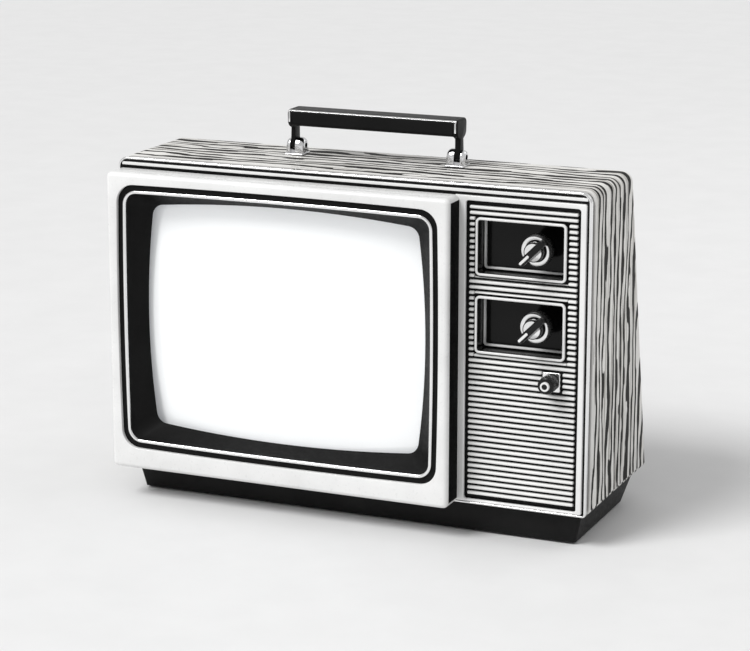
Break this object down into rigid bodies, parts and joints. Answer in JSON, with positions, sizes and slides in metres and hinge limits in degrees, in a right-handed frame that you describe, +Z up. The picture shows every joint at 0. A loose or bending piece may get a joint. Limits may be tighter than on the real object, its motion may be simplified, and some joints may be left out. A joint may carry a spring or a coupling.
{
  "type": "portable television",
  "caption": "Portable tube television: wood-grain cabinet with raised screen bezel, ribbed control panel with two tuning windows, folding carry handle and tapered plinth.",
  "frame": {"origin": "centre of the footprint, at the level of the feet", "axes": "+Z up, -Y out of the screen towards the viewer, +X to the right of a viewer who looks at the screen"},
  "size_m": [0.53, 0.322, 0.4215],
  "materials": {
    "wood_grain": "limed wood grain, pale ground with near-black open grain",
    "bright_trim": "polished bright trim",
    "light_plastic": "satin silver-white moulding",
    "light_ribs": "satin light ribs",
    "black_plastic": "fine-textured black",
    "black_gloss": "glossy black",
    "smoked_window": "smoked, polished",
    "dial_white": "matt",
    "rubber_black": "matt",
    "tube_glass": "pale phosphor seen through polished glass",
    "cover_black": "spark-eroded black",
    "zinc_steel": "zinc plated",
    "bracket_chrome": "polished",
    "copper_winding": "enamelled copper wire",
    "ferrite": "sintered",
    "board_brown": "phenolic board",
    "component_dark": "moulded",
    "speaker_paper": "pressed paper"
  },
  "bodies": {
    "cabinet": {"anode_cap": "rubber_black", "antenna_terminals": "cover_black", "back_cover": "cover_black", "base_plinth": "black_plastic", "bracket_screws": "zinc_steel", "cabinet_shell": "wood_grain", "chassis_tray": "zinc_steel", "control_frame": "light_plastic", "cover_screws": "zinc_steel", "electron_gun": "zinc_steel", "flyback_transformer": "component_dark", "front_bead": "bright_trim", "front_frame": "black_plastic", "grille_panel": "light_ribs", "handle_brackets": "bracket_chrome", "main_board": "board_brown", "mains_transformer": "component_dark", "mask_ring": "bright_trim", "neck_board": "board_brown", "neck_cup": "cover_black", "picture_tube": "tube_glass", "pivot_pins": "zinc_steel", "power_inlet": "cover_black", "rear_pots": "component_dark", "rubber_feet": "rubber_black", "screen_bezel": "light_plastic", "speaker_cone": "speaker_paper", "speaker_frame": "zinc_steel", "step_strip": "black_plastic", "tube_band": "zinc_steel", "tube_base": "component_dark", "tube_mask": "black_plastic", "tube_screws": "zinc_steel", "tuner_bracket": "zinc_steel", "uhf_escutcheon": "black_gloss", "uhf_tuner": "zinc_steel", "uhf_window": "smoked_window", "vhf_escutcheon": "black_gloss", "vhf_tuner": "zinc_steel", "vhf_window": "smoked_window", "volume_control": "component_dark", "volume_plate": "bright_trim", "yoke_coils": "copper_winding", "yoke_core": "ferrite"},
    "handle": {"handle_grip": "black_plastic", "handle_arms": "black_plastic"},
    "vhf_channel": {"vhf_channel_knob": "black_gloss", "vhf_channel_shaft": "zinc_steel", "vhf_dial": "dial_white"},
    "vhf_fine": {"vhf_fine_ring": "black_gloss"},
    "uhf_channel": {"uhf_channel_knob": "black_gloss", "uhf_channel_shaft": "zinc_steel", "uhf_dial": "dial_white"},
    "uhf_fine": {"uhf_fine_ring": "black_gloss"},
    "volume_switch": {"volume_plunger": "component_dark"},
    "volume": {"volume_shaft": "zinc_steel", "volume_knob": "black_gloss", "volume_nose": "bright_trim"},
    "brightness": {"brightness_knob": "cover_black"},
    "contrast": {"contrast_knob": "cover_black"}
  },
  "joints": [
    {"name": "handle_fold", "type": "hinge", "parent": "cabinet", "child": "handle", "pos_m": [-0.0035, -0.045, 0.3815], "axis": [1, 0, 0], "range_deg": [-78, 78]},
    {"name": "vhf_channel_turn", "type": "hinge", "parent": "cabinet", "child": "vhf_channel", "pos_m": [0.211, -0.101, 0.311], "axis": [0, -1, 0], "continuous": true},
    {"name": "vhf_fine_turn", "type": "hinge", "parent": "cabinet", "child": "vhf_fine", "pos_m": [0.211, -0.112, 0.311], "axis": [0, -1, 0], "continuous": true},
    {"name": "uhf_channel_turn", "type": "hinge", "parent": "cabinet", "child": "uhf_channel", "pos_m": [0.211, -0.101, 0.232], "axis": [0, -1, 0], "continuous": true},
    {"name": "uhf_fine_turn", "type": "hinge", "parent": "cabinet", "child": "uhf_fine", "pos_m": [0.211, -0.112, 0.232], "axis": [0, -1, 0], "continuous": true},
    {"name": "power_pull", "type": "slide", "parent": "cabinet", "child": "volume_switch", "axis": [0, -1, 0], "range_m": [0, 0.0035]},
    {"name": "volume_turn", "type": "hinge", "parent": "volume_switch", "child": "volume", "pos_m": [0.226, -0.121, 0.175], "axis": [0, -1, 0], "range_deg": [-300, 0]},
    {"name": "brightness_turn", "type": "hinge", "parent": "cabinet", "child": "brightness", "pos_m": [0.09, 0.089, 0.09], "axis": [0, 1, 0], "range_deg": [-135, 135]},
    {"name": "contrast_turn", "type": "hinge", "parent": "cabinet", "child": "contrast", "pos_m": [0.125, 0.089, 0.09], "axis": [0, 1, 0], "range_deg": [-135, 135]}
  ]
}
